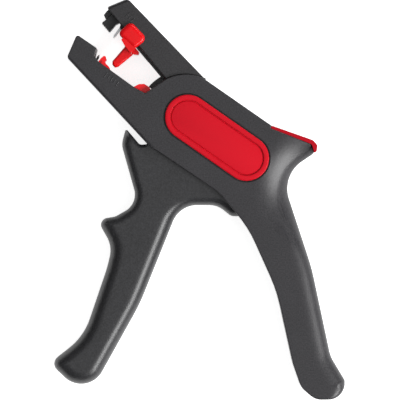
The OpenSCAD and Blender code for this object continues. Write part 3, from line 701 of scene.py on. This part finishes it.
# Camera: straight down; the scale and the aim come from the object's four edge points.
cameraSet = {"distance": 2.0, "sensor": 36.0, "shiftX": 0.0, "shiftY": 0.0, "clipEnd": 20}
low, high = cadBox[0], cadBox[1]
pixelX = (high[0] - low[0]) / (imagePoints["right"][0] - imagePoints["left"][0])
pixelY = (high[1] - low[1]) / (imagePoints["bottom"][1] - imagePoints["top"][1])
pixel = (pixelX + pixelY) / 2
aimX = (low[0] + high[0]) / 2 - ((imagePoints["left"][0] + imagePoints["right"][0]) / 2 - imageSize / 2) * pixel
aimY = (low[1] + high[1]) / 2 + ((imagePoints["top"][1] + imagePoints["bottom"][1]) / 2 - imageSize / 2) * pixel
cameraData = bpy.data.cameras.new("camera")
camera = newObject("camera", cameraData)
camera.location = (aimX, aimY, mid * mm + cameraSet["distance"])
cameraData.sensor_width = cameraSet["sensor"]
cameraData.sensor_fit = "AUTO"
cameraData.lens = cameraSet["sensor"] * cameraSet["distance"] / (imageSize * pixel)
cameraData.shift_x = cameraSet["shiftX"]
cameraData.shift_y = cameraSet["shiftY"]
cameraData.clip_end = cameraSet["clipEnd"]
bpy.context.scene.camera = camera


# Places of a piece's vertices, in mm.
def vertexPlaces(piece):
    places = np.empty(3 * len(piece.data.vertices))
    piece.data.vertices.foreach_get("co", places)
    return places.reshape(-1, 3) / mm


# Meets a pixel of the photograph with what carries a piece: the ray through the pixel, or the nearest place to it.
def meet(point, carriers):
    verts, faces = [], []
    for carrier in carriers:
        start = len(verts)
        verts += (vertexPlaces(carrier) * mm).tolist()
        faces += [[start + k for k in f.vertices] for f in carrier.data.polygons]
    tree = BVHTree.FromPolygons(verts, faces)
    way = Vector((point[0] - imageSize / 2 + cameraData.shift_x * imageSize,
                  imageSize / 2 - point[1] + cameraData.shift_y * imageSize,
                  -imageSize * cameraData.lens / cameraData.sensor_width)).normalized()
    hit = tree.ray_cast(camera.location, way)[0]
    if hit is None:
        hit = tree.find_nearest(camera.location + way * cameraSet["distance"])[0]
    return np.array(hit) / mm


# Pixels at which places of the tool, in mm, show.
def shows(places):
    away = np.atleast_2d(places) * mm - np.array(camera.location)
    scale = imageSize * cameraData.lens / cameraData.sensor_width / -away[:, 2]
    return np.column_stack([away[:, 0] * scale + imageSize / 2 - cameraData.shift_x * imageSize,
                            imageSize / 2 - away[:, 1] * scale + cameraData.shift_y * imageSize])


# Plain raised ticks on the jaws' faces, long and short in turn: a row is centred on its image point.
markSet = {
    "long": 3.0, "short": 1.8, "wide": 0.5, "proud": 0.14, "sunk": 0.05, "step": 1.7,
    "corner": 0.2, "roll": (0.16, 0.12), "rollSteps": 3, "weld": 0.001, "smoothTo": 40,
}
markRows = {
    "upperMarks": {"carriers": [nodes["upper_jaw"]], "body": "upper_jaw", "turn": jawTurn["upper"], "count": 3,
                   "material": jawPlastic},
    "lowerMarks": {"carriers": [frontShell], "body": "housing", "turn": jawTurn["lower"], "count": 5,
                   "material": housingPlastic},
}


# A tick is a rounded box with a rolled top, at x = k times the step from the row's middle.
def markRow(name, row):
    s = markSet
    place = meet(imagePoints[name], row["carriers"])
    build = Build(name)
    for k in range(row["count"]):
        long = (s["long"] if k % 2 == 0 else s["short"]) / 2
        x = (k - (row["count"] - 1) / 2) * s["step"]
        left, right = x - s["wide"] / 2, x + s["wide"] / 2
        box = [(left, -long), (right, -long), (right, long), (left, long)]
        outline = Outline([c + (s["corner"], s["roll"]) for c in box])
        rings = rolledRings(outline, place[2] + s["proud"], s["rollSteps"])
        build.closed([level(rings[0], place[2] - s["sunk"])] + rings)
    build.carry(place[:2], row["turn"])
    return paint(build.finish(row["body"], s["weld"], s["smoothTo"]), row["material"])


for name, row in markRows.items():
    row["piece"] = markRow(name, row)
print("marks made")

# Light: three soft rectangles, all aimed at the tool's middle.
lightTarget = (0.0, -0.04, 0.0)
lights = {
    "key": {"at": (1.12, -0.55, 0.97), "size": (1.15, 0.62), "power": 33},
    "top": {"at": (0.0, -0.04, 2.5), "size": (1.8, 1.8), "power": 8},
    "edge": {"at": (0.75, 1.15, 0.75), "size": (0.9, 0.35), "power": 5},
}


def areaLight(name, at, size, power):
    data = bpy.data.lights.new(name, "AREA")
    data.shape = "RECTANGLE"
    data.size, data.size_y = size
    data.energy = power
    lamp = newObject(name, data)
    lamp.location = at
    lamp.rotation_euler = (Vector(lightTarget) - Vector(at)).to_track_quat("-Z", "Y").to_euler()


for name, s in lights.items():
    areaLight(name, s["at"], s["size"], s["power"])


# Whether a ray is the camera's, a glossy one or a transmission one.
def rayKinds(tree):
    path = tree.nodes.new("ShaderNodeLightPath")
    return [Field(tree, path.outputs[kind]) for kind in ("Is Camera Ray", "Is Glossy Ray", "Is Transmission Ray")]


# World: white to the camera, a low fill on the object, and nearly dark in reflections, as the studio's horizon is.
worldSet = {"fill": 0.27, "glossy": 0.02}
world = bpy.data.worlds.new("studio")
bpy.context.scene.world = world
world.use_nodes = True
tree = world.node_tree
background = tree.nodes["Background"]
seen, mirrored = rayKinds(tree)[:2]
put(tree, background.inputs["Strength"], worldSet["fill"] + (1 - worldSet["fill"]) * seen
    + (worldSet["glossy"] - worldSet["fill"]) * mirrored * (1 - seen))
put(tree, background.inputs["Color"], (1, 1, 1, 1))

# Floor: pale paper just under the tool, lifted to white for the rays that show it.
floorSet = {"half": 6, "z": -0.0002, "grey": 0.85, "rough": 0.9, "seen": 0.8, "mirrored": 0.7}
floorCorners = [(x * floorSet["half"], y * floorSet["half"], floorSet["z"]) for x, y in
                ((-1, -1), (1, -1), (1, 1), (-1, 1))]
floorMesh = bpy.data.meshes.new("floor")
floorMesh.from_pydata(floorCorners, [], [(0, 1, 2, 3)])
floor = newObject("floor", floorMesh)
floorMaterial, tree, shader = newMaterial("floorPaper")[:3]
seen, mirrored, through = rayKinds(tree)
put(tree, shader.inputs["Base Color"], (*[floorSet["grey"]] * 3, 1))
put(tree, shader.inputs["Roughness"], floorSet["rough"])
put(tree, shader.inputs["Specular IOR Level"], 0.0)
put(tree, shader.inputs["Emission Color"], (1, 1, 1, 1))
put(tree, shader.inputs["Emission Strength"], floorSet["seen"] * seen + floorSet["mirrored"] * (mirrored + through))
paint(floor, floorMaterial)

bpy.context.scene.view_settings.view_transform = "Standard"
print("stage made")

# How far each thing shows from its image point, in pixels: edges by the outermost vertices, the badge and the stop by
# places in their settings, rows of marks by their middles, corners by the vertex that shows nearest to the point.
edgePieces = (frontShell, triggerBody, nodes["upper_jaw"], nodes["corner_strip"])
spots = np.concatenate([shows(vertexPlaces(piece)) for piece in edgePieces])
least, most = spots.min(0), spots.max(0)
shownAt = {"left": (least[0], None), "right": (most[0], None), "top": (None, least[1]), "bottom": (None, most[1])}
shownAt["badgeUpperEnd"], shownAt["badgeLowerEnd"] = shows([(*badgeSet["a"], bodyT), (*badgeEnd, bodyT)])
stopPlaces = np.array([(*stopSet["capMiddle"], stopSet["top"]), (*stopSet["armTip"], mid)])
shownAt["stopCap"], shownAt["stopTip"] = shows(turned(stopPlaces, stopSet["at"], stopSet["turn"]))
for name, row in markRows.items():
    places = vertexPlaces(row["piece"])
    shownAt[name] = shows((places.min(0) + places.max(0)) / 2)[0]
corners = {"upperJawTip": nodes["upper_jaw"], "lowerJawTip": frontShell, "hornTip": triggerBody, "bump": triggerBody,
           "stripCorner": nodes["corner_strip"], "throatRoot": frontShell}
for name, piece in corners.items():
    spots = shows(vertexPlaces(piece))
    shownAt[name] = spots[np.linalg.norm(spots - imagePoints[name], axis=1).argmin()]
offPoint = {name: [None if a is None or b is None else round(float(a - b), 2) for a, b in zip(at, imagePoints[name])]
            for name, at in shownAt.items()}
print("points", offPoint)
